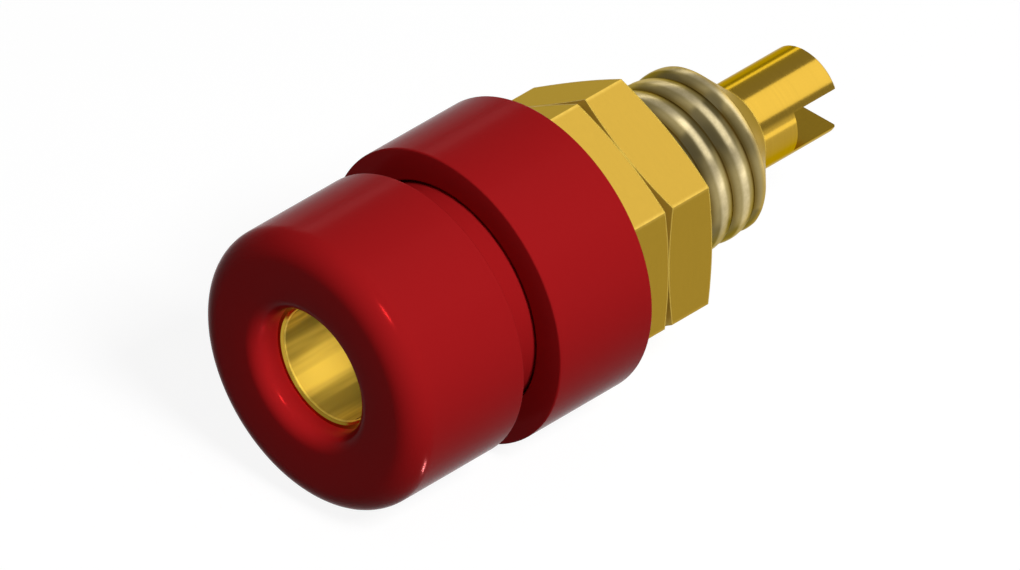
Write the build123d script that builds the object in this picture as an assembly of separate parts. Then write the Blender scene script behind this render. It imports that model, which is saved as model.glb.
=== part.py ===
from build123d import *
import os
from math import cos, radians, tan

# Banana socket for a panel: a moulded head with its contact sleeve, an insulating washer and two nuts.
# Lengths are in millimetres. The socket's axis is Y, its nose looks to -Y and its solder tail to +Y.
# The origin is on the axis, in the rear face of the head that seats on the panel.

# Contact sleeve
bore_dia = 4.0            # takes the plug
sleeve_wall = 1.0         # between the bore and the thread's crests
mouth_chamfer = 0.12      # lead-in of the bore
bore_depth = 16.6         # full diameter, from the sleeve's front face
drill_angle = 118.0       # point left by the drill at the bottom of the bore
collar_step = 0.6         # height of the collar that anchors the sleeve in the head
collar_length = 1.2
collar_setback = 1.0      # from the sleeve's front face to the collar
thread_run = 3.5          # thread left free behind the lock nut
tail_dia = 3.2
tail_length = 3.5
shoulder_angle = 45.0     # cone from the thread down to the tail
slot_width = 1.5          # for the wire
slot_depth = 2.0

# Insulating head
sleeve_recess = 1.0       # from the nose to the sleeve's front face
seat_to_nose = 5.0        # from the panel to the nose
mouth_step = 0.25         # the mouth's wall stands this far outside the bore
lip_round = 0.55
nose_round = 0.87
nose_crown = 0.05         # bulge of the nose's front between its two roundings
spigot_wall = 1.0         # sleeve that lines the panel's hole
spigot_length = 3.1
seat_width = 1.0          # ledge round the spigot that seats on the panel

# Panel and insulating washer
panel_gap = 1.4           # panel that the socket is set for
washer_wall = 1.15
washer_length = 4.2
washer_web = 1.0          # solid bottom behind the spigot's recess

# Nuts
nut_wall = 1.0            # from the thread's crests to a flat
nut_thickness = 2.0
nut_chamfer_angle = 15.0
nut_bore_chamfer = 0.2

# Clearances, all measured on the radius
moulding_gap = 0.01       # plastic round the sleeve
thread_clearance = 0.05   # nut on the thread
washer_clearance = 0.1    # washer on the thread, and round the spigot

# Sizes that follow
bore_r = bore_dia / 2
thread_r = bore_r + sleeve_wall
tail_r = tail_dia / 2
collar_r = thread_r + collar_step
mouth_r = bore_r + mouth_step
spigot_r = thread_r + spigot_wall
head_r = spigot_r + seat_width
recess_r = spigot_r + washer_clearance
washer_r = recess_r + washer_wall
nut_flat_r = thread_r + nut_wall

# Places along the axis that follow
nose_y = -seat_to_nose
sleeve_front_y = nose_y + sleeve_recess
collar_y = sleeve_front_y + collar_setback
washer_y = panel_gap
mounting_nut_y = washer_y + washer_length
lock_nut_y = mounting_nut_y + nut_thickness
thread_end_y = lock_nut_y + nut_thickness + thread_run
shoulder_length = (thread_r - tail_r) / tan(radians(shoulder_angle))
tail_y = thread_end_y + shoulder_length
tail_end_y = tail_y + tail_length
bore_end_y = sleeve_front_y + bore_depth
drill_tip_y = bore_end_y + bore_r / tan(radians(drill_angle / 2))


def turned(*edges):
    """Solid of revolution about the socket's axis. X is the radius in its outline."""
    return revolve(make_face(edges), axis=Axis.Y)


def ring_edge(solid, radius, y):
    """The round edge of a turned solid that has this radius and lies at this place on the axis."""
    rings = solid.edges().filter_by(GeomType.CIRCLE)
    return min(rings, key=lambda edge: abs(edge.radius - radius) + abs(edge.arc_center.Y - y))


def insulating_head():
    """Moulded head: rounded nose, a ledge that seats on the panel and a spigot that lines its hole."""
    bore = thread_r + moulding_gap
    groove = collar_r + moulding_gap
    rim_y = nose_y + nose_crown
    nose = ThreePointArc((head_r, rim_y), ((head_r + mouth_r) / 2, nose_y), (mouth_r, rim_y))
    walls = Polyline(
        (mouth_r, rim_y),
        (mouth_r, sleeve_front_y),
        (bore, sleeve_front_y),
        (bore, collar_y),
        (groove, collar_y),
        (groove, collar_y + collar_length),
        (bore, collar_y + collar_length),
        (bore, spigot_length),
        (spigot_r, spigot_length),
        (spigot_r, 0),
        (head_r, 0),
        (head_r, rim_y),
    )
    head = turned(nose, walls)
    head = fillet(ring_edge(head, head_r, rim_y), nose_round)
    return fillet(ring_edge(head, mouth_r, rim_y), lip_round)


def contact_sleeve():
    """One turned piece: collar, blind bore, threaded stub, cone and slotted solder tail."""
    outline = Polyline(
        (bore_r + mouth_chamfer, sleeve_front_y),
        (thread_r, sleeve_front_y),
        (thread_r, collar_y),
        (collar_r, collar_y),
        (collar_r, collar_y + collar_length),
        (thread_r, collar_y + collar_length),
        (thread_r, thread_end_y),
        (tail_r, tail_y),
        (tail_r, tail_end_y),
        (0, tail_end_y),
        (0, drill_tip_y),
        (bore_r, bore_end_y),
        (bore_r, sleeve_front_y + mouth_chamfer),
        close=True,
    )
    slot = Pos(0, tail_end_y - slot_depth / 2, 0) * Box(2 * thread_r, slot_depth, slot_width)
    return turned(outline) - slot


def insulating_washer():
    """Moulded ring behind the panel, recessed to pass over the head's spigot."""
    web_y = washer_y + washer_length - washer_web
    hole = thread_r + washer_clearance
    outline = Polyline(
        (recess_r, washer_y),
        (washer_r, washer_y),
        (washer_r, washer_y + washer_length),
        (hole, washer_y + washer_length),
        (hole, web_y),
        (recess_r, web_y),
        close=True,
    )
    return turned(outline)


def hex_nut(face_y):
    """Flat hexagon nut whose front face is at face_y. Two of its flats face -X and +X."""
    corner_r = nut_flat_r / cos(radians(30))
    turning_r = corner_r + nut_wall
    rise = (turning_r - nut_flat_r) * tan(radians(nut_chamfer_angle))
    along_y = Pos(0, face_y, 0) * Rot(-90, 0, 0)
    hexagon = along_y * extrude(RegularPolygon(nut_flat_r, 6, major_radius=False, rotation=30), nut_thickness)
    chamfered = turned(
        Polyline(
            (0, face_y),
            (nut_flat_r, face_y),
            (turning_r, face_y + rise),
            (turning_r, face_y + nut_thickness - rise),
            (nut_flat_r, face_y + nut_thickness),
            (0, face_y + nut_thickness),
            close=True,
        )
    )
    hole_r = thread_r + thread_clearance
    hole = turned(
        Polyline(
            (0, face_y),
            (hole_r + nut_bore_chamfer, face_y),
            (hole_r, face_y + nut_bore_chamfer),
            (hole_r, face_y + nut_thickness - nut_bore_chamfer),
            (hole_r + nut_bore_chamfer, face_y + nut_thickness),
            (0, face_y + nut_thickness),
            close=True,
        )
    )
    return (hexagon & chamfered) - hole


nodes = {
    "insulating_head": insulating_head(),
    "contact_sleeve": contact_sleeve(),
    "insulating_washer": insulating_washer(),
    "mounting_nut": hex_nut(mounting_nut_y),
    "lock_nut": hex_nut(lock_nut_y),
}

os.makedirs("parts", exist_ok=True)
for name, solid in nodes.items():
    export_step(solid, f"parts/{name}.step")
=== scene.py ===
"""Banana socket for a panel: its finer shapes and finishes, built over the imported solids.

The sizes in the settings are in metres. Meshes are shaped in millimetres and scaled when they are
finished. The socket's axis is Y: the mouth looks towards -Y and the solder tail towards +Y.
"""

import math

import bmesh
import bpy
from bpy.props import FloatProperty, FloatVectorProperty, IntProperty, PointerProperty
from bpy.types import Operator, Panel, PropertyGroup
from mathutils import Matrix, Vector


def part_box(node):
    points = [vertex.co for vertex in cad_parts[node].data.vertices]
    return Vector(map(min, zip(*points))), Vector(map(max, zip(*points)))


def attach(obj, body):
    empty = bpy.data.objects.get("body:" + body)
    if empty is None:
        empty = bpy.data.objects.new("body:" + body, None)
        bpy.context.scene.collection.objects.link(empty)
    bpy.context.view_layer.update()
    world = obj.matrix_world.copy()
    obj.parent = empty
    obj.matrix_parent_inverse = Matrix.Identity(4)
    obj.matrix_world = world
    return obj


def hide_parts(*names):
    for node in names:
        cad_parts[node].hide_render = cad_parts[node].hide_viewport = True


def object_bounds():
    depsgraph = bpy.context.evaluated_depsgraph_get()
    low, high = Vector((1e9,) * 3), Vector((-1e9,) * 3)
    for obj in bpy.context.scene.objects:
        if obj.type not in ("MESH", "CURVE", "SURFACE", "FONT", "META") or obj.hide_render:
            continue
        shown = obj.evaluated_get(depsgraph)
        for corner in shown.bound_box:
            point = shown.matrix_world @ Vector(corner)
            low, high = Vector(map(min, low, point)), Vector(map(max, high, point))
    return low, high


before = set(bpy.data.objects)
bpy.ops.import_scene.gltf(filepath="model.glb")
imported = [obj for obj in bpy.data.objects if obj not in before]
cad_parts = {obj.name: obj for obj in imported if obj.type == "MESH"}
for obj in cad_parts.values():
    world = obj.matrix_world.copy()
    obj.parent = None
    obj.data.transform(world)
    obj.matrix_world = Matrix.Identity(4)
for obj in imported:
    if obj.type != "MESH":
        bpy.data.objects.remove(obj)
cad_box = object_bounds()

bl_info = {
    "name": "Banana Socket",
    "version": (1, 0, 0),
    "blender": (4, 5, 0),
    "location": "3D View > Sidebar > Socket",
    "description": "Banana socket for a panel, with its insulating washer and two nuts",
    "category": "Add Mesh",
}

head_low, head_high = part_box("insulating_head")
sleeve_low, sleeve_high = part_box("contact_sleeve")
washer_low, washer_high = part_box("insulating_washer")
nut_low, nut_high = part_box("mounting_nut")
lock_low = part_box("lock_nut")[0]

# The collar that holds the sleeve in the head, and the gap round it, in millimetres.
collar_radius = 3.6
collar_front = -3.0
collar_back = -1.8
moulding_gap = 0.01

# Points closer than this are one, in millimetres, and edges sharper than this stay crisp.
weld = 0.0001
thread_weld = 0.001
crisp_angle = math.radians(29)


class SocketHeadSizes(PropertyGroup):
    """Sizes of the insulating head."""

    diameter: FloatProperty(
        name="Diameter", description="Outer diameter of the head",
        default=head_high.x - head_low.x, precision=5, unit="LENGTH")
    nose: FloatProperty(
        name="Nose", description="From the panel to the front of the nose",
        default=-head_low.y, precision=5, unit="LENGTH")
    mouth: FloatProperty(
        name="Mouth", description="Diameter of the opening in the nose",
        default=0.0045, precision=5, unit="LENGTH")
    lip_round: FloatProperty(
        name="Lip round", description="Rounding of the nose into the mouth",
        default=0.00055, precision=5, unit="LENGTH")
    nose_round: FloatProperty(
        name="Nose round", description="Rounding of the nose into the side",
        default=0.00087, precision=5, unit="LENGTH")
    crown: FloatProperty(
        name="Crown", description="Bulge of the nose between its two roundings",
        default=0.00005, precision=5, unit="LENGTH")
    spigot: FloatProperty(
        name="Spigot", description="Diameter of the sleeve that lines the panel's hole",
        default=0.008, precision=5, unit="LENGTH")
    spigot_length: FloatProperty(
        name="Spigot length", description="Length of the spigot behind the panel's face",
        default=head_high.y, precision=5, unit="LENGTH")
    edge: FloatProperty(
        name="Edge", description="Radius left on the moulded edges by the mould",
        default=0.00006, precision=5, unit="LENGTH")


class SocketSleeveSizes(PropertyGroup):
    """Sizes of the turned contact sleeve."""

    bore: FloatProperty(
        name="Bore", description="Diameter of the bore for the plug",
        default=0.004, precision=5, unit="LENGTH")
    bore_depth: FloatProperty(
        name="Bore depth", description="Depth of the bore at full diameter",
        default=0.0166, precision=5, unit="LENGTH")
    drill_angle: FloatProperty(
        name="Drill point", description="Angle of the cone at the bottom of the bore",
        default=math.radians(118), subtype="ANGLE")
    mouth_chamfer: FloatProperty(
        name="Mouth chamfer", description="Lead-in of the bore",
        default=0.00012, precision=5, unit="LENGTH")
    front: FloatProperty(
        name="Front", description="Distance of the sleeve's front face before the panel",
        default=-sleeve_low.y, precision=5, unit="LENGTH")
    thread: FloatProperty(
        name="Thread", description="Diameter of the thread over its crests",
        default=0.006, precision=5, unit="LENGTH")
    pitch: FloatProperty(
        name="Pitch", description="Advance of the thread in one turn",
        default=0.001, precision=5, unit="LENGTH")
    thread_depth: FloatProperty(
        name="Thread depth", description="Height of the thread from root to crest",
        default=0.00013, precision=5, unit="LENGTH")
    thread_start: FloatProperty(
        name="Thread start", description="Place on the axis where the thread begins, behind the spigot",
        default=0.0044, precision=5, unit="LENGTH")
    thread_end: FloatProperty(
        name="Thread end", description="Place on the axis where the cone cuts the thread off",
        default=0.0131, precision=5, unit="LENGTH")
    tail: FloatProperty(
        name="Tail", description="Diameter of the solder tail",
        default=0.0032, precision=5, unit="LENGTH")
    tail_end: FloatProperty(
        name="Tail end", description="Place on the axis of the end of the tail",
        default=sleeve_high.y, precision=5, unit="LENGTH")
    slot_width: FloatProperty(
        name="Slot width", description="Width of the slot for the wire",
        default=0.0015, precision=5, unit="LENGTH")
    slot_depth: FloatProperty(
        name="Slot depth", description="Depth of the slot for the wire",
        default=0.002, precision=5, unit="LENGTH")
    edge: FloatProperty(
        name="Edge", description="Width of the broken edges",
        default=0.00004, precision=5, unit="LENGTH")


class SocketWasherSizes(PropertyGroup):
    """Sizes of the insulating washer."""

    diameter: FloatProperty(
        name="Diameter", description="Outer diameter of the washer",
        default=washer_high.x - washer_low.x, precision=5, unit="LENGTH")
    recess: FloatProperty(
        name="Recess", description="Diameter of the recess that passes over the spigot",
        default=0.0082, precision=5, unit="LENGTH")
    hole: FloatProperty(
        name="Hole", description="Diameter of the hole for the thread",
        default=0.0062, precision=5, unit="LENGTH")
    web: FloatProperty(
        name="Web", description="Thickness of the solid end behind the recess",
        default=0.001, precision=5, unit="LENGTH")
    edge: FloatProperty(
        name="Edge", description="Radius left on the moulded edges by the mould",
        default=0.00006, precision=5, unit="LENGTH")


class SocketNutSizes(PropertyGroup):
    """Sizes of the two hexagon nuts."""

    flats: FloatProperty(
        name="Across flats", description="Width of the nuts across their flats",
        default=nut_high.x - nut_low.x, precision=5, unit="LENGTH")
    thickness: FloatProperty(
        name="Thickness", description="Thickness of each nut",
        default=nut_high.y - nut_low.y, precision=5, unit="LENGTH")
    hole: FloatProperty(
        name="Hole", description="Diameter of the nuts' holes",
        default=0.0061, precision=5, unit="LENGTH")
    hole_chamfer: FloatProperty(
        name="Hole chamfer", description="Chamfer at both ends of the hole",
        default=0.0002, precision=5, unit="LENGTH")
    chamfer_angle: FloatProperty(
        name="Chamfer angle", description="Angle of the turned chamfer on both faces",
        default=math.radians(15), subtype="ANGLE")
    edge: FloatProperty(
        name="Edge", description="Width of the worn corners between the flats",
        default=0.00004, precision=5, unit="LENGTH")


class SocketFinish(PropertyGroup):
    """Colours and surface detail."""

    red: FloatVectorProperty(
        name="Red", description="Colour of the moulded plastic",
        default=(0.42, 0.011, 0.013), min=0.0, max=1.0, subtype="COLOR")
    gold: FloatVectorProperty(
        name="Gold", description="Colour of the plating",
        default=(0.46, 0.285, 0.034), min=0.0, max=1.0, subtype="COLOR")
    # Thread crests: a painted highlight, a pale line along each crest.
    crest_highlight_gold: FloatVectorProperty(
        name="Thread crests", description="Colour of the thread's crests, which the nuts rub bright",
        default=(0.68, 0.57, 0.33), min=0.0, max=1.0, subtype="COLOR")
    flank_gold: FloatVectorProperty(
        name="Thread flanks", description="Colour of the plating on the thread's flanks",
        default=(0.37, 0.295, 0.13), min=0.0, max=1.0, subtype="COLOR")
    # Thread roots: painted shade, a dark colour where shade falls in the thread's roots.
    root_shade_gold: FloatVectorProperty(
        name="Thread roots", description="Colour of the thread's roots, where oil and dust stay",
        default=(0.17, 0.115, 0.027), min=0.0, max=1.0, subtype="COLOR")
    # Bore: the bright end of the painted reflection bands in the bore; their dark end is this colour at
    # 0.3.
    bore_gold: FloatVectorProperty(
        name="Bore", description="Colour of the reamed bore",
        default=(0.85, 0.56, 0.07), min=0.0, max=1.0, subtype="COLOR")
    grazing_gold: FloatVectorProperty(
        name="Gold at a slant", description="Tint of the plating where it is seen at a slant",
        default=(0.76, 0.63, 0.3), min=0.0, max=1.0, subtype="COLOR")
    nut_gold: FloatVectorProperty(
        name="Nuts", description="Colour of the plating on the nuts' drawn flats",
        default=(0.36, 0.226, 0.031), min=0.0, max=1.0, subtype="COLOR")
    face_gold: FloatVectorProperty(
        name="Turned faces", description="Colour of the nuts' satin faces and chamfers",
        default=(0.62, 0.42, 0.06), min=0.0, max=1.0, subtype="COLOR")
    worn_gold: FloatVectorProperty(
        name="Worn edge", description="Colour of the plating where it is rubbed bright",
        default=(0.47, 0.31, 0.055), min=0.0, max=1.0, subtype="COLOR")
    segments: IntProperty(
        name="Segments", description="Steps of a full turn", default=160, min=24)


class SocketStage(PropertyGroup):
    """Floor, lamps and camera."""

    floor_colour: FloatVectorProperty(
        name="Floor", description="Colour of the floor",
        default=(0.16, 0.16, 0.16), min=0.0, max=1.0, subtype="COLOR")
    floor_white: FloatProperty(
        name="Floor white", description="White that the floor shows to the camera and in reflections",
        default=0.9, min=0.0, max=1.0, subtype="FACTOR")
    ceiling: FloatProperty(
        name="Ceiling", description="Brightness of the room above the horizon in reflections",
        default=0.45, min=0.0, max=1.0, subtype="FACTOR")
    overhead: FloatProperty(
        name="Overhead", description="Brightness of the room straight above in reflections",
        default=0.9, min=0.0, max=1.0, subtype="FACTOR")
    front: FloatProperty(
        name="Front", description="Brightness in reflections of the room before the socket's mouth",
        default=0.5, min=0.0, max=1.0, subtype="FACTOR")
    ambient: FloatProperty(
        name="Ambient", description="Brightness of the room as it lights the object",
        default=0.1, min=0.0, max=2.0, subtype="FACTOR")
    key_power: FloatProperty(
        name="Key", description="Power of the key lamp", default=0.49, min=0.0, unit="POWER")
    top_power: FloatProperty(
        name="Top", description="Power of the wide lamp behind the top that the metal shows", default=0.176,
        min=0.0, unit="POWER")
    side_power: FloatProperty(
        name="Side", description="Power of the low lamp beside the tail that the metal shows",
        default=0.00066, min=0.0, precision=6, unit="POWER")
    rim_power: FloatProperty(
        name="Rim", description="Power of the narrow lamp on the far side that the metal shows",
        default=0.028, min=0.0, unit="POWER")
    glint_power: FloatProperty(
        name="Glint",
        description="Power of the largest of the four tiny lamps that show in the nose's gloss",
        default=0.00033, min=0.0, precision=6, unit="POWER")
    fill_power: FloatProperty(
        name="Fill", description="Power of the lamp that lights the far side and the back", default=0.18,
        min=0.0, unit="POWER")
    lip_power: FloatProperty(
        name="Lip", description="Power of the fill lamp that brightens the far lip of the mouth",
        default=0.00003, min=0.0, precision=6, unit="POWER")
    mouth_power: FloatProperty(
        name="Mouth", description="Power of the narrow lamp that reaches into the mouth", default=0.000075,
        min=0.0, precision=6, unit="POWER")
    lens: FloatProperty(
        name="Lens", description="Focal length of the camera", default=900.0, min=50.0,
        unit="CAMERA")
    distance: FloatProperty(
        name="Distance", description="From the camera to the object", default=0.8227, min=0.1,
        unit="LENGTH")


def millimetres(sizes, *names):
    """Settings in millimetres, in the order of their names."""
    return [getattr(sizes, name) * 1000 for name in names]


def outline(corners):
    """A flat face through (radius, place on the axis) corners, to be turned round the axis."""
    bm = bmesh.new()
    bm.faces.new([bm.verts.new((radius, place, 0.0)) for radius, place in corners])
    return bm


def round_corner(bm, radius, place, amount, steps=4):
    """Rounds off the outline's corner that lies at this radius and place."""
    spot = Vector((radius, place, 0.0))
    corner = min(bm.verts, key=lambda vert: (vert.co - spot).length)
    bmesh.ops.bevel(
        bm, geom=[corner], offset=amount, offset_type="OFFSET", affect="VERTICES",
        segments=steps, profile=0.5, material=-1, clamp_overlap=True)


def full_turn(bm, geom, steps):
    """Turns these points and lines through a full circle about the Y axis."""
    bmesh.ops.spin(
        bm, geom=geom, cent=(0, 0, 0), axis=(0, 1, 0), dvec=(0, 0, 0), angle=math.tau,
        steps=steps, use_merge=True, use_duplicate=False)


def turn(bm, segments):
    """Makes a body of revolution from the outline."""
    bmesh.ops.delete(bm, geom=bm.faces[:], context="FACES_ONLY")
    full_turn(bm, bm.verts[:] + bm.edges[:], segments)
    bmesh.ops.remove_doubles(bm, verts=bm.verts[:], dist=weld)


def cut_plane(bm, point, normal, **sides):
    """Cuts the whole mesh along a plane, and clears one side of it where it is told to."""
    everything = bm.verts[:] + bm.edges[:] + bm.faces[:]
    return bmesh.ops.bisect_plane(bm, geom=everything, plane_co=point, plane_no=normal, **sides)


def add_object(name, data):
    """A new object of the scene with this mesh, lamp or camera."""
    made = bpy.data.objects.new(name, data)
    bpy.context.scene.collection.objects.link(made)
    return made


def mesh_object(bm, name):
    """A new object of the scene with this shape."""
    mesh = bpy.data.meshes.new(name)
    bm.to_mesh(mesh)
    bm.free()
    return add_object(name, mesh)


def shade(mesh):
    """Smooth shading with crisp edges."""
    mesh.shade_smooth()
    mesh.set_sharp_from_angle(angle=crisp_angle)


def finish_mesh(bm, name):
    """Makes the piece's object: normals outwards, metres, shading."""
    bmesh.ops.dissolve_degenerate(bm, edges=bm.edges[:], dist=weld / 2)
    bmesh.ops.recalc_face_normals(bm, faces=bm.faces[:])
    bmesh.ops.scale(bm, vec=(0.001, 0.001, 0.001), verts=bm.verts[:])
    piece = mesh_object(bm, name)
    shade(piece.data)
    return piece


def place_piece(piece, material, body, node):
    """Gives the piece its finish and sets it on its body in place of its solid."""
    piece.data.materials.append(material)
    smoothing = piece.modifiers.new("Even shading", "WEIGHTED_NORMAL")
    smoothing.mode = "FACE_AREA"
    smoothing.keep_sharp = True
    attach(piece, body)
    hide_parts(node)


def feed(tree, node, inputs):
    """Fills a node's inputs. Each is a value or another node's output."""
    for key, value in inputs.items():
        if isinstance(value, bpy.types.NodeSocket):
            tree.links.new(value, node.inputs[key])
        else:
            node.inputs[key].default_value = value


def add_node(tree, kind, column, row, inputs=None, **settings):
    """A shader node at a place in the tree, with its settings and inputs."""
    made = tree.nodes.new("ShaderNode" + kind)
    made.location = (column * 190, -row * 210)
    for key, value in settings.items():
        setattr(made, key, value)
    feed(tree, made, inputs or {})
    return made


def calculate(tree, operation, first, second, column, row, third=None, clamp=False):
    """The result of an operation on two values, or on three."""
    inputs = {0: first, 1: second}
    if third is not None:
        inputs[2] = third
    made = add_node(tree, "Math", column, row, inputs, operation=operation, use_clamp=clamp)
    return made.outputs[0]


def between(tree, value, low, high, column, row, to_low=0.0, to_high=1.0, smooth=True):
    """Turns a value between low and high into one of another range, with soft ends or straight."""
    inputs = {"Value": value, "From Min": low, "From Max": high, "To Min": to_low, "To Max": to_high}
    shape = "SMOOTHSTEP" if smooth else "LINEAR"
    return add_node(tree, "MapRange", column, row, inputs, interpolation_type=shape).outputs[0]


def vary(tree, source, low, high, column, row):
    """Turns an effect's value from about 0.3 to 0.7 into a range of another."""
    return between(tree, source, 0.3, 0.7, column, row, low, high, smooth=False)


def noise(tree, place, scale, detail, column, row, roughness=0.5, dimensions="3D", **more):
    """Noise at this place, round a middle of 0.5."""
    inputs = {"Vector": place, "Scale": scale, "Detail": detail, "Roughness": roughness, **more}
    return add_node(tree, "TexNoise", column, row, inputs, noise_dimensions=dimensions).outputs["Fac"]


def mix(tree, factor, first, second, column, row, kind="FLOAT"):
    """A mix of two values. Each is a value or another node's output."""
    inputs = {"Factor": factor, "A": first, "B": second}
    return add_node(tree, "Mix", column, row, inputs, data_type=kind).outputs["Result"]


def tint(tree, factor, first, second, column, row):
    """A mix of two colours. Each is a colour or another node's output."""
    first, second = [
        colour if isinstance(colour, bpy.types.NodeSocket) else (*colour, 1.0)
        for colour in (first, second)]
    return mix(tree, factor, first, second, column, row, "RGBA")


def darker(colour, share):
    """A colour with this share of its brightness."""
    return [channel * share for channel in colour]


def split_place(tree, place, column, row):
    """A place's part along the socket's axis, and its part across it."""
    split = add_node(tree, "SeparateXYZ", column, row, {0: place}).outputs
    across = add_node(tree, "CombineXYZ", column + 1, row + 1, {"X": split["X"], "Z": split["Z"]})
    return split["Y"], across.outputs[0]


def axis_distance(tree, across, column, row):
    """The distance from the socket's axis."""
    return add_node(tree, "VectorMath", column, row, {0: across}, operation="LENGTH").outputs["Value"]


def new_group(name, values, results):
    """An empty node group: it takes a place and these values, and gives these results."""
    tree = bpy.data.node_groups.new(name, "ShaderNodeTree")
    tree.interface.new_socket(name="Place", in_out="INPUT", socket_type="NodeSocketVector")
    for label, value in values.items():
        socket = tree.interface.new_socket(name=label, in_out="INPUT", socket_type="NodeSocketFloat")
        socket.default_value = value
    for label in results:
        tree.interface.new_socket(name=label, in_out="OUTPUT", socket_type="NodeSocketFloat")
    start = tree.nodes.new("NodeGroupInput")
    start.location = (-950, 0)
    end = tree.nodes.new("NodeGroupOutput")
    end.location = (950, 0)
    return tree, start.outputs, end


def turning_marks():
    """Group: fine rings round the axis, as a turning tool leaves them."""
    name = "Turning marks"
    if name in bpy.data.node_groups:
        return bpy.data.node_groups[name]
    tree, start, end = new_group(name, {"Rings per mm": 14.0, "Waver": 0.25}, ("Height", "Shade"))
    along, across = split_place(tree, start["Place"], -4, 0)
    rings = add_node(tree, "CombineXYZ", -1, 0, {"X": axis_distance(tree, across, -2, 1), "Y": along})
    fine = noise(tree, rings.outputs[0], start["Rings per mm"], 3.0, 1, 0, 0.6, "2D")
    broad = noise(tree, start["Place"], 1.3, 2.0, 1, 2)
    waver = calculate(tree, "MULTIPLY", broad, start["Waver"], 2, 2)
    feed(tree, end, {"Height": fine, "Shade": calculate(tree, "ADD", fine, waver, 3, 1)})
    return tree


def painted_bore_reflections():
    """Group: painted reflection bands in the bore, lengthwise: four bright ones round the axis, on the
    diagonals between X and Z, broken up by streaks.
    """
    name = "Plug wear"
    if name in bpy.data.node_groups:
        return bpy.data.node_groups[name]
    tree, start, end = new_group(name, {"Streaks": 1.6, "Pattern": 0.0}, ("Shade",))
    along, across = split_place(tree, start["Place"], -4, 0)
    around = add_node(tree, "VectorMath", -2, 1, {0: across}, operation="NORMALIZE").outputs[0]
    slow = calculate(tree, "MULTIPLY", along, 0.03, -3, 0)
    lift = add_node(tree, "CombineXYZ", -2, 0, {"Y": slow}).outputs[0]
    spot = add_node(tree, "VectorMath", -1, 0, {0: around, 1: lift}, operation="ADD").outputs[0]
    streaks = noise(tree, spot, start["Streaks"], 3.0, 1, 0, 0.55, "4D", W=start["Pattern"])
    sides = add_node(tree, "SeparateXYZ", -1, 2, {0: around}).outputs
    product = calculate(tree, "MULTIPLY", sides["X"], sides["Z"], 0, 2)
    four = calculate(tree, "POWER", product, 2.0, 1, 2)
    both = calculate(tree, "MULTIPLY_ADD", four, 1.2, 2, 1, third=streaks)
    feed(tree, end, {"Shade": between(tree, both, 0.45, 0.85, 3, 0)})
    return tree


def turned_face():
    """Group: a mask of the nuts' turned faces and chamfers, which meet the flats in arcs."""
    name = "Turned face"
    if name in bpy.data.node_groups:
        return bpy.data.node_groups[name]
    tree, start, end = new_group(
        name, {"First face": 5.6, "Half thickness": 1.0, "Face radius": 4.0, "Slope": 0.268}, ("Mask",))
    along, across = split_place(tree, start["Place"], -4, 0)
    radius = axis_distance(tree, across, -2, 1)
    beyond = calculate(tree, "SUBTRACT", radius, start["Face radius"], -1, 1, clamp=True)
    drop = calculate(tree, "MULTIPLY", beyond, start["Slope"], 0, 1)
    behind = calculate(tree, "SUBTRACT", along, start["First face"], -3, 0)
    inside = calculate(tree, "PINGPONG", behind, start["Half thickness"], -2, 0)
    depth = calculate(tree, "SUBTRACT", inside, drop, 1, 0)
    feed(tree, end, {"Mask": between(tree, depth, 0.05, 0.03, 2, 0, smooth=False)})
    return tree


def moulded_grain():
    """Group: the faint waviness and fine grain of a polished mould."""
    name = "Moulded grain"
    if name in bpy.data.node_groups:
        return bpy.data.node_groups[name]
    tree, start, end = new_group(name, {"Waves per mm": 0.7, "Grain per mm": 16.0}, ("Height", "Shade"))
    waves = noise(tree, start["Place"], start["Waves per mm"], 1.0, -2, 0)
    grain = noise(tree, start["Place"], start["Grain per mm"], 4.0, -2, 2, 0.65)
    small = calculate(tree, "MULTIPLY", grain, 0.12, 0, 2)
    feed(tree, end, {"Height": calculate(tree, "ADD", waves, small, 2, 0), "Shade": grain})
    return tree


def rub_and_painted_light_mask():
    """Group: a mask that grows with the distance from the axis, broken up by small scratches. It marks the
    nuts' rubbed corners, and lays the thread's painted shade and painted highlight.
    """
    name = "Rubbed edge"
    if name in bpy.data.node_groups:
        return bpy.data.node_groups[name]
    tree, start, end = new_group(name, {"From radius": 4.4, "To radius": 4.6, "Breakup": 0.6}, ("Mask",))
    radius = axis_distance(tree, split_place(tree, start["Place"], -4, 0)[1], -2, 0)
    rise = between(tree, radius, start["From radius"], start["To radius"], 0, 0)
    specks = noise(tree, start["Place"], 5.0, 5.0, -2, 2, 0.7)
    keep = between(tree, specks, 0.35, 0.65, 0, 2, smooth=False)
    share = mix(tree, start["Breakup"], 1.0, keep, 2, 2)
    feed(tree, end, {"Mask": calculate(tree, "MULTIPLY", rise, share, 3, 0, clamp=True)})
    return tree


def new_material(name):
    """A material with its shader, and the place on the piece in millimetres."""
    material = bpy.data.materials.new(name)
    material.use_nodes = True
    tree = material.node_tree
    shader = tree.nodes["Principled BSDF"]
    shader.location = (1100, 0)
    tree.nodes["Material Output"].location = (1450, 0)
    where = add_node(tree, "TexCoord", -6, 0).outputs["Object"]
    scale = add_node(tree, "Mapping", -5, 0, {"Vector": where, "Scale": (1000, 1000, 1000)})
    return material, tree, shader, scale.outputs["Vector"]


def add_group(tree, group, place, column, row, **values):
    """The results of one of this script's effects, placed in a material with its own values."""
    inputs = {label.replace("_", " "): value for label, value in values.items()}
    return add_node(tree, "Group", column, row, {"Place": place, **inputs}, node_tree=group).outputs


def bump(tree, shader, height, strength, distance, column, row):
    """Raises the surface by an effect's height. The distance is in metres."""
    inputs = {"Strength": strength, "Distance": distance, "Height": height}
    feed(tree, shader, {"Normal": add_node(tree, "Bump", column, row, inputs).outputs["Normal"]})


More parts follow.
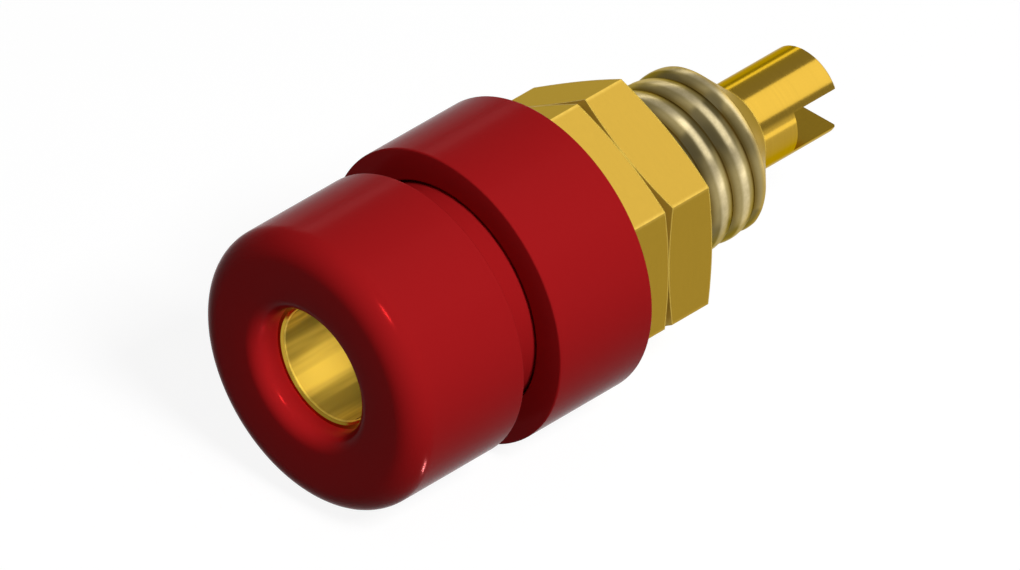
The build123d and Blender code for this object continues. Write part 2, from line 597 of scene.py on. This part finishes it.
def red_plastic(finish):
    """Moulded gloss plastic."""
    name = "Red moulded plastic"
    if name in bpy.data.materials:
        return bpy.data.materials[name]
    material, tree, shader, place = new_material(name)
    grain = add_group(tree, moulded_grain(), place, -3, 0)
    feed(tree, shader, {
        "Base Color": tint(tree, grain["Shade"], darker(finish.red, 0.93), finish.red, 1, 0),
        "Roughness": vary(tree, grain["Shade"], 0.18, 0.23, 1, 1),
        "IOR": 1.5,
        "Specular IOR Level": 0.012,
        "Specular Tint": (1.0, 0.1, 0.1, 1.0)})
    bump(tree, shader, grain["Height"], 0.25, 0.00001, 1, 3)
    return material


def gold_sleeve(finish):
    """Gold plating on the turned sleeve: pale on the thread, with painted shade in its roots, a painted
    highlight along its crests and painted dark reflections in patches; satin on the cone; painted
    reflection bands in the bore.
    """
    name = "Gold on turned brass"
    if name in bpy.data.materials:
        return bpy.data.materials[name]
    material, tree, shader, place = new_material(name)
    marks = add_group(tree, turning_marks(), place, -3, 0, Rings_per_mm=12.0)
    # The flanks mask lays painted shade: dark in the thread's roots, lighter up the flanks.
    flanks = add_group(tree, rub_and_painted_light_mask(), place, -3, 2, From_radius=2.87, To_radius=2.98, Breakup=0.15)
    # The crests mask lays a painted highlight, a pale line along each crest.
    crests = add_group(tree, rub_and_painted_light_mask(), place, -3, 3, From_radius=2.975, To_radius=3.0, Breakup=0.3)
    bore_reflection_bands = add_group(tree, painted_bore_reflections(), place, -3, 8, Streaks=2.2, Pattern=0.0)

    # Where each part of the sleeve lies: along the axis first, then away from it.
    along, across = split_place(tree, place, -3, 4)
    radius = axis_distance(tree, across, -2, 6)
    before_cone = between(tree, along, 13.3, 12.9, -1, 4)
    before_tail = between(tree, along, 14.56, 14.5, -1, 9, smooth=False)
    outer = between(tree, radius, 2.3, 2.5, -1, 6)
    inner = between(tree, radius, 2.06, 2.02, -1, 8, smooth=False)
    on_thread = calculate(tree, "MULTIPLY", before_cone, outer, 0, 4)
    in_bore = calculate(tree, "MULTIPLY", inner, before_cone, 0, 8)
    on_cone = calculate(tree, "SUBTRACT", before_tail, before_cone, 0, 9, clamp=True)

    plain = tint(tree, marks["Shade"], darker(finish.gold, 0.88), finish.gold, 1, 0)
    # Painted shade: the thread's colour darkens from the flanks down into the roots.
    painted_groove_shade = tint(tree, flanks["Mask"], finish.root_shade_gold, finish.flank_gold, 1, 2)
    # Painted reflections: random patches darken the flanks and dim the crest lines, in place of dark
    # reflections.
    reflection_patch_mask = between(tree, noise(tree, place, 0.5, 1.0, -1, 2), 0.46, 0.56, 0, 2)
    dark_reflection_patches = tint(tree, reflection_patch_mask, painted_groove_shade, darker(finish.flank_gold, 0.45), 1, 3)
    lines = tint(tree, reflection_patch_mask, finish.crest_highlight_gold, darker(finish.crest_highlight_gold, 0.75), 1, 4)
    # The thread's painted shade, painted highlight and painted reflections together.
    painted_thread_shading = tint(tree, crests["Mask"], dark_reflection_patches, lines, 1, 5)
    threads = tint(tree, on_thread, plain, painted_thread_shading, 2, 0)
    outside = tint(tree, on_cone, threads, finish.face_gold, 3, 1)
    # Painted reflections in the bore: lengthwise bands between a dark copy of its colour and the full one.
    reamed = tint(tree, bore_reflection_bands["Shade"], darker(finish.bore_gold, 0.3), finish.bore_gold, 1, 8)

    polish = vary(tree, marks["Shade"], 0.14, 0.16, 2, 2)
    dull = calculate(tree, "MULTIPLY_ADD", on_thread, 0.14, 3, 3, third=polish)
    matt = calculate(tree, "MAXIMUM", on_cone, in_bore, 2, 9)
    feed(tree, shader, {
        "Base Color": tint(tree, in_bore, outside, reamed, 4, 0),
        "Roughness": calculate(tree, "MULTIPLY_ADD", on_cone, 0.25, 4, 3, third=dull),
        "Metallic": between(tree, matt, 0.0, 1.0, 3, 2, 1.0, 0.3, smooth=False),
        "Specular Tint": (*finish.grazing_gold, 1.0)})
    bump(tree, shader, marks["Height"], 0.2, 0.000001, 3, 7)
    return material


def gold_nut(finish):
    """Gold plating on the nuts: turned faces, drawn flats and corners rubbed by the spanner."""
    name = "Gold on the nuts"
    if name in bpy.data.materials:
        return bpy.data.materials[name]
    material, tree, shader, place = new_material(name)
    marks = add_group(tree, turning_marks(), place, -3, 0, Rings_per_mm=9.0)
    corners = add_group(tree, rub_and_painted_light_mask(), place, -3, 2, From_radius=4.55, To_radius=4.61, Breakup=0.5)
    face = add_group(tree, turned_face(), place, -3, 4)["Mask"]
    plain = tint(tree, marks["Shade"], darker(finish.nut_gold, 0.92), finish.nut_gold, 1, 0)
    rubbed = tint(tree, corners["Mask"], plain, finish.worn_gold, 2, 0)
    polish = vary(tree, marks["Shade"], 0.15, 0.18, 2, 2)
    feed(tree, shader, {
        "Base Color": tint(tree, face, rubbed, finish.face_gold, 3, 0),
        "Roughness": mix(tree, face, polish, 0.45, 3, 2),
        "Metallic": mix(tree, face, 1.0, 0.35, 3, 4),
        "Specular Tint": (*finish.grazing_gold, 1.0)})
    bump(tree, shader, marks["Height"], 0.2, 0.000002, 2, 3)
    return material


class SOCKET_OT_head(Operator):
    """Moulds the insulating head, with its rounded nose, the groove that holds the sleeve and its spigot"""

    bl_idname = "socket.head"
    bl_label = "Insulating head"

    def execute(self, context):
        sizes = context.scene.socket_head
        sleeve = context.scene.socket_sleeve
        finish = context.scene.socket_finish
        outer, nose, mouth, crown = millimetres(sizes, "diameter", "nose", "mouth", "crown")
        spigot, length, edge = millimetres(sizes, "spigot", "spigot_length", "edge")
        lip_round, nose_round = millimetres(sizes, "lip_round", "nose_round")
        front, thread = millimetres(sleeve, "front", "thread")
        rim = crown - nose
        middle = (outer + mouth) / 4
        crown_round = 0.45
        bore = thread / 2 + moulding_gap
        groove = collar_radius + moulding_gap
        bm = outline([
            (mouth / 2, rim), (mouth / 2, -front), (bore, -front), (bore, collar_front),
            (groove, collar_front), (groove, collar_back), (bore, collar_back), (bore, length),
            (spigot / 2, length), (spigot / 2, 0.0), (outer / 2, 0.0), (outer / 2, rim), (middle, -nose)])
        round_corner(bm, middle, -nose, crown_round, 8)
        round_corner(bm, outer / 2, rim, nose_round, 12)
        round_corner(bm, mouth / 2, rim, lip_round, 10)
        round_corner(bm, outer / 2, 0.0, edge)
        round_corner(bm, spigot / 2, length, edge * 2)
        turn(bm, finish.segments)
        piece = finish_mesh(bm, "head_moulding")
        place_piece(piece, red_plastic(finish), "socket", "insulating_head")
        return {"FINISHED"}


class SOCKET_OT_sleeve(Operator):
    """Turns the contact sleeve, winds its thread and cuts the slot in its tail"""

    bl_idname = "socket.sleeve"
    bl_label = "Contact sleeve"

    def execute(self, context):
        sizes = context.scene.socket_sleeve
        finish = context.scene.socket_finish
        bore, depth, chamfer, front = millimetres(sizes, "bore", "bore_depth", "mouth_chamfer", "front")
        thread, height, start, end = millimetres(
            sizes, "thread", "thread_depth", "thread_start", "thread_end")
        tail, tail_end, edge = millimetres(sizes, "tail", "tail_end", "edge")
        crest = thread / 2
        root = crest - height
        tip = depth - front + bore / 2 / math.tan(sizes.drill_angle / 2)
        tail_start = end + crest - tail / 2
        # In millimetres: how far the thread runs out on the cone, how far before the thread its
        # run-in and the full stem lie, and how far the turned ends stand off the wound part.
        run_out = 0.15
        run_in = 0.3
        neck = 0.7
        lap = 0.05
        blend = end + height + run_out
        cone = crest - (blend - end)

        bm = self.wind(sizes, finish.segments, blend)
        wound = set(bm.verts)
        before_thread = [
            (root, start - run_in), (crest, start - neck), (crest, collar_back),
            (collar_radius, collar_back), (collar_radius, collar_front), (crest, collar_front),
            (crest, -front + edge), (crest - edge, -front), (bore / 2 + chamfer, -front),
            (bore / 2, -front + chamfer), (bore / 2, depth - front), (0.0, tip)]
        behind_thread = [
            (cone - lap, blend + lap), (tail / 2, tail_start), (tail / 2, tail_end - edge * 2),
            (tail / 2 - edge * 2, tail_end), (0.0, tail_end)]
        for profile in (before_thread, behind_thread):
            verts = [bm.verts.new((radius, place, 0.0)) for radius, place in profile]
            lines = [bm.edges.new(pair) for pair in zip(verts, verts[1:])]
            full_turn(bm, verts + lines, finish.segments)
        bmesh.ops.remove_doubles(bm, verts=[vert for vert in bm.verts if vert not in wound], dist=weld)
        open_edges = [line for line in bm.edges if line.is_boundary]
        for place, reach in ((start, run_in + lap), (blend, lap * 2)):
            ring = [line for line in open_edges if all(abs(v.co.y - place) < reach for v in line.verts)]
            bmesh.ops.bridge_loops(bm, edges=ring)
        piece = finish_mesh(bm, "sleeve_turned")
        self.saw_slot(context, piece, sizes)
        place_piece(piece, gold_sleeve(finish), "socket", "contact_sleeve")
        return {"FINISHED"}

    def wind(self, sizes, steps, blend):
        """The thread as one helix, from its start to this place on the cone, which cuts it off."""
        thread, pitch, height, start, end = millimetres(
            sizes, "thread", "pitch", "thread_depth", "thread_start", "thread_end")
        crest = thread / 2
        # Turns the crests to where the picture has them, as a share of the pitch.
        crest_place = 0.625
        bm = bmesh.new()
        first = end - pitch * (math.floor((end - start) / pitch) + 2 + crest_place)
        points = []
        for step in range(11):
            radius = crest - height * (step / 5 - 1) ** 2
            points.append(bm.verts.new((0.0, first + pitch * step / 10, radius)))
        for low, high in zip(points, points[1:]):
            bm.edges.new((low, high))
        bmesh.ops.spin(
            bm, geom=bm.verts[:] + bm.edges[:], cent=(0, 0, 0), axis=(0, 1, 0),
            dvec=(0, pitch, 0), angle=0.0, steps=math.ceil((blend - first) / pitch),
            use_merge=False, use_duplicate=True)
        bmesh.ops.remove_doubles(bm, verts=bm.verts[:], dist=thread_weld)
        bmesh.ops.spin(
            bm, geom=bm.verts[:] + bm.edges[:], cent=(0, 0, 0), axis=(0, 1, 0),
            dvec=(0, pitch / steps, 0), angle=math.tau, steps=steps, use_merge=False,
            use_duplicate=False)
        bmesh.ops.remove_doubles(bm, verts=bm.verts[:], dist=thread_weld)
        cut_plane(bm, (0, start, 0), (0, 1, 0), clear_inner=True)
        cut_plane(bm, (0, end, 0), (0, 1, 0))
        for vert in bm.verts:
            limit = crest - max(0.0, vert.co.y - end)
            radius = math.hypot(vert.co.x, vert.co.z)
            if radius > limit:
                vert.co.x *= limit / radius
                vert.co.z *= limit / radius
        cut_plane(bm, (0, blend, 0), (0, 1, 0), clear_outer=True)
        return bm

    def saw_slot(self, context, piece, sizes):
        """Cuts the slot for the wire across the end of the tail."""
        # In metres, and longer than the tail is wide.
        saw_length = 0.006
        bm = bmesh.new()
        bmesh.ops.create_cube(bm, size=1.0)
        bmesh.ops.scale(bm, vec=(saw_length, sizes.slot_depth * 2, sizes.slot_width), verts=bm.verts[:])
        bmesh.ops.translate(bm, vec=(0, sizes.tail_end, 0), verts=bm.verts[:])
        cutter = mesh_object(bm, "slot_cutter")
        saw = piece.modifiers.new("Slot", "BOOLEAN")
        saw.operation = "DIFFERENCE"
        saw.solver = "EXACT"
        saw.object = cutter
        ready = piece.evaluated_get(context.evaluated_depsgraph_get())
        cut_mesh = bpy.data.meshes.new_from_object(ready)
        piece.modifiers.clear()
        piece.data = cut_mesh
        cut_mesh.name = "sleeve_turned"
        bpy.data.objects.remove(cutter)
        shade(cut_mesh)


class SOCKET_OT_washer(Operator):
    """Moulds the insulating washer with its recess for the spigot"""

    bl_idname = "socket.washer"
    bl_label = "Insulating washer"

    def execute(self, context):
        sizes = context.scene.socket_washer
        finish = context.scene.socket_finish
        outer, recess, hole, web, edge = millimetres(sizes, "diameter", "recess", "hole", "web", "edge")
        low = washer_low.y * 1000
        high = washer_high.y * 1000
        bm = outline([
            (recess / 2, low), (outer / 2, low), (outer / 2, high), (hole / 2, high),
            (hole / 2, high - web), (recess / 2, high - web)])
        round_corner(bm, outer / 2, low, edge)
        round_corner(bm, outer / 2, high, edge)
        round_corner(bm, recess / 2, low, edge * 1.5)
        round_corner(bm, hole / 2, high, edge * 1.5)
        turn(bm, finish.segments)
        piece = finish_mesh(bm, "washer_moulding")
        place_piece(piece, red_plastic(finish), "washer", "insulating_washer")
        return {"FINISHED"}


class SOCKET_OT_nuts(Operator):
    """Turns the two nuts and cuts their six flats"""

    bl_idname = "socket.nuts"
    bl_label = "Nuts"

    def execute(self, context):
        sizes = context.scene.socket_nut
        finish = context.scene.socket_finish
        flats, thickness, hole, chamfer, edge = millimetres(
            sizes, "flats", "thickness", "hole", "hole_chamfer", "edge")
        # The blank is turned wider than the corners, in millimetres, and the flats cut it down.
        spare = 1.0
        blank = flats / 2 / math.cos(math.radians(30)) + spare
        rise = (blank - flats / 2) * math.tan(sizes.chamfer_angle)
        near_corner = flats / 2 * 1.1
        for name, node, low in (
            ("mounting_nut_hex", "mounting_nut", nut_low.y * 1000),
            ("lock_nut_hex", "lock_nut", lock_low.y * 1000),
        ):
            high = low + thickness
            bm = outline([
                (hole / 2 + chamfer, low), (flats / 2, low), (blank, low + rise), (blank, high - rise),
                (flats / 2, high), (hole / 2 + chamfer, high), (hole / 2, high - chamfer),
                (hole / 2, low + chamfer)])
            # 20 more than the other pieces gives 180 steps, so that six flats share them evenly.
            turn(bm, finish.segments + 20)
            for corner in range(6):
                outwards = Matrix.Rotation(math.radians(60) * corner, 3, "Y") @ Vector((1, 0, 0))
                cut = cut_plane(bm, outwards * flats / 2, outwards, clear_outer=True)
                rim = [part for part in cut["geom_cut"] if isinstance(part, bmesh.types.BMEdge)]
                bmesh.ops.holes_fill(bm, edges=rim)
            upright = [
                e for e in bm.edges
                if e.calc_length() > thickness / 4
                and abs((e.verts[0].co - e.verts[1].co).normalized().y) > 0.999
                and math.hypot(e.verts[0].co.x, e.verts[0].co.z) > near_corner]
            bmesh.ops.bevel(
                bm, geom=upright, offset=edge, offset_type="OFFSET", affect="EDGES", segments=2,
                profile=0.5, material=-1, clamp_overlap=True)
            piece = finish_mesh(bm, name)
            place_piece(piece, gold_nut(finish), node, node)
        return {"FINISHED"}


def soft_lamp(name, towards, distance, width, height, power, spot=(0.0, 0.0065, 0.0), only=()):
    """A rectangular lamp that shines on this spot, or only on some pieces there.

    Its width lies round the socket's axis.
    """
    light = bpy.data.lights.new(name, "AREA")
    light.shape = "RECTANGLE"
    light.size = width
    light.size_y = height
    light.energy = power
    lamp = add_object(name, light)
    direction = Vector(towards).normalized()
    across = Vector((direction.z, 0.0, -direction.x)).normalized()
    lamp.location = Vector(spot) + direction * distance
    lamp.rotation_euler = Matrix((across, direction.cross(across), direction)).transposed().to_euler()
    if only:
        lit = bpy.data.collections.new(name + "_lights")
        for piece in only:
            lit.objects.link(bpy.data.objects[piece])
        lamp.light_linking.receiver_collection = lit
    return lamp


def past(degrees):
    """A direction behind the socket, this far round its axis from the top towards +X."""
    turned = math.radians(degrees)
    return (0.816 * math.sin(turned), 0.577, 0.816 * math.cos(turned))


def seen(tree):
    """One where the camera, a reflection or a refraction looks, and zero for the light itself."""
    path = add_node(tree, "LightPath", -4, 1).outputs
    first = calculate(tree, "MAXIMUM", path["Is Camera Ray"], path["Is Glossy Ray"], -3, 1)
    return calculate(tree, "MAXIMUM", first, path["Is Transmission Ray"], -2, 1)


class SOCKET_OT_stage(Operator):
    """Lays the floor and sets the lamps, the room and the camera"""

    bl_idname = "socket.stage"
    bl_label = "Stage"

    def execute(self, context):
        stage = context.scene.socket_stage
        self.lay_floor(stage)
        self.paint_room(context.scene, stage)
        self.set_lamps(stage)
        self.aim_camera(context.scene, stage)
        context.scene.view_settings.view_transform = "Standard"
        return {"FINISHED"}

    def lay_floor(self, stage):
        """A pale floor under the socket, which stays white to the camera and in reflections."""
        bm = bmesh.new()
        bmesh.ops.create_grid(bm, x_segments=1, y_segments=1, size=2.0)
        bmesh.ops.translate(bm, vec=(0, 0, cad_box[0].z), verts=bm.verts[:])
        floor = mesh_object(bm, "floor")
        material = bpy.data.materials.new("Pale floor")
        material.use_nodes = True
        tree = material.node_tree
        feed(tree, tree.nodes["Principled BSDF"], {
            "Base Color": (*stage.floor_colour, 1.0),
            "Roughness": 0.9,
            "Specular IOR Level": 0.0,
            "Emission Color": (1, 1, 1, 1),
            "Emission Strength": calculate(tree, "MULTIPLY", seen(tree), stage.floor_white, -1, 1)})
        floor.data.materials.append(material)

    def paint_room(self, scene, stage):
        """A room that is bright at the horizon and overhead in reflections, and even as a light."""
        scene.world = bpy.data.worlds.new("Room")
        scene.world.use_nodes = True
        tree = scene.world.node_tree
        room = tree.nodes["Background"]
        where = add_node(tree, "TexCoord", -5, -1).outputs["Generated"]
        side = add_node(tree, "SeparateXYZ", -4, -1, {0: where}).outputs
        wall = between(tree, side["Y"], -0.2, 0.2, -4, 0, stage.front, stage.ceiling, smooth=False)
        horizon = between(tree, side["Z"], 0.06, 0.2, -3, -1, 1.0, wall)
        overhead = between(tree, side["Z"], 0.83, 0.95, -3, -2, 0.0, stage.overhead)
        sky = calculate(tree, "MAXIMUM", horizon, overhead, -2, -1)
        feed(tree, room, {"Color": sky, "Strength": 1.0})
        light = add_node(tree, "Background", 0, 2, {"Color": (1, 1, 1, 1), "Strength": stage.ambient})
        shaders = {"Fac": seen(tree), 1: light.outputs[0], 2: room.outputs[0]}
        either = add_node(tree, "MixShader", 1, 0, shaders)
        feed(tree, tree.nodes["World Output"], {"Surface": either.outputs[0]})

    def set_lamps(self, stage):
        """Soft lamps for the form, lamps that only gloss shows, and two that reach into the mouth."""
        away = 0.25
        key = soft_lamp("key", (0.69, -0.13, 0.71), away, 0.07, 0.07, stage.key_power)
        fill = soft_lamp("fill", (-0.8, 0.6, 0.05), away, 0.12, 0.12, stage.fill_power)
        gloss = [
            soft_lamp("top", past(27.5), away, 0.244, 0.14, stage.top_power),
            soft_lamp("side", past(103), 0.03, 0.0105, 0.016, stage.side_power, spot=(0.0, 0.0145, 0.0)),
            soft_lamp("rim", past(-62), away, 0.036, 0.14, stage.rim_power)]
        above = (0.563, -0.15, 0.81)
        for name, towards, distance, share, spot in (
            ("nose_glint", above, 0.012, 1.0, (0.00313, -0.00441, 0.00382)),
            ("lip_glint", above, 0.012, 0.9, (-0.00145, -0.00461, -0.00177)),
            ("low_glint", (0.381, 0.308, -0.871), 0.0035, 0.015, (0.00475, -0.00431, -0.00146)),
            ("far_glint", (0.42, -0.12, -0.9), 0.0035, 0.013, (-0.00223, -0.00472, 0.00074)),
        ):
            width = distance * 0.24
            height = distance * 0.042
            lamp = soft_lamp(name, towards, distance, width, height, stage.glint_power * share,
                             spot=spot, only=("head_moulding",))
            lamp.data.spread = math.radians(24)
            lamp.data.color = (1.0, 0.3, 0.3)
            gloss.append(lamp)
        lip = soft_lamp("lip", (0.7071, 0.0, 0.7071), 0.0002, 0.002, 0.0006, stage.lip_power,
                        spot=(0.0, -0.0046, 0.0), only=("head_moulding",))
        mouth = soft_lamp("mouth", (0.5657, -0.6, 0.5657), 0.1, 0.0044, 0.003, stage.mouth_power,
                          spot=(0.0, -0.0045, 0.0), only=("sleeve_turned",))
        mouth.data.spread = math.radians(2)
        for lamp in gloss:
            lamp.visible_diffuse = False
        for lamp in (key, fill, lip):
            lamp.visible_glossy = False

    def aim_camera(self, scene, stage):
        """The camera of the isometric view."""
        back = Vector((1, -1, 1)).normalized()
        aim = Vector((0.001775, 0.002564, 0.000771))
        camera = add_object("camera", bpy.data.cameras.new("camera"))
        camera.data.lens = stage.lens
        camera.data.sensor_width = 36.0
        camera.location = aim + back * stage.distance
        camera.rotation_euler = back.to_track_quat("Z", "Y").to_euler()
        scene.camera = camera


class SOCKET_PT_panel(Panel):
    """Lists the socket's settings and its makers"""

    bl_idname = "SOCKET_PT_panel"
    bl_label = "Banana socket"
    bl_space_type = "VIEW_3D"
    bl_region_type = "UI"
    bl_category = "Socket"

    def draw(self, context):
        layout = self.layout
        for operator in makers:
            layout.operator(operator.bl_idname)
        for label, group in settings.items():
            column = layout.column(align=True)
            column.label(text=label.replace("socket_", "").capitalize())
            for key in group.__annotations__:
                column.prop(getattr(context.scene, label), key)


settings = {
    "socket_head": SocketHeadSizes,
    "socket_sleeve": SocketSleeveSizes,
    "socket_washer": SocketWasherSizes,
    "socket_nut": SocketNutSizes,
    "socket_finish": SocketFinish,
    "socket_stage": SocketStage,
}
makers = (SOCKET_OT_head, SOCKET_OT_sleeve, SOCKET_OT_washer, SOCKET_OT_nuts, SOCKET_OT_stage)


def register():
    for group in settings.values():
        bpy.utils.register_class(group)
    for operator in makers:
        bpy.utils.register_class(operator)
    bpy.utils.register_class(SOCKET_PT_panel)
    for label, group in settings.items():
        setattr(bpy.types.Scene, label, PointerProperty(type=group))


def unregister():
    for label in settings:
        delattr(bpy.types.Scene, label)
    bpy.utils.unregister_class(SOCKET_PT_panel)
    for operator in reversed(makers):
        bpy.utils.unregister_class(operator)
    for group in settings.values():
        bpy.utils.unregister_class(group)


def main():
    """Builds the socket and its stage."""
    register()
    bpy.ops.socket.head()
    bpy.ops.socket.sleeve()
    bpy.ops.socket.washer()
    bpy.ops.socket.nuts()
    bpy.ops.socket.stage()


if __name__ == "__main__":
    main()
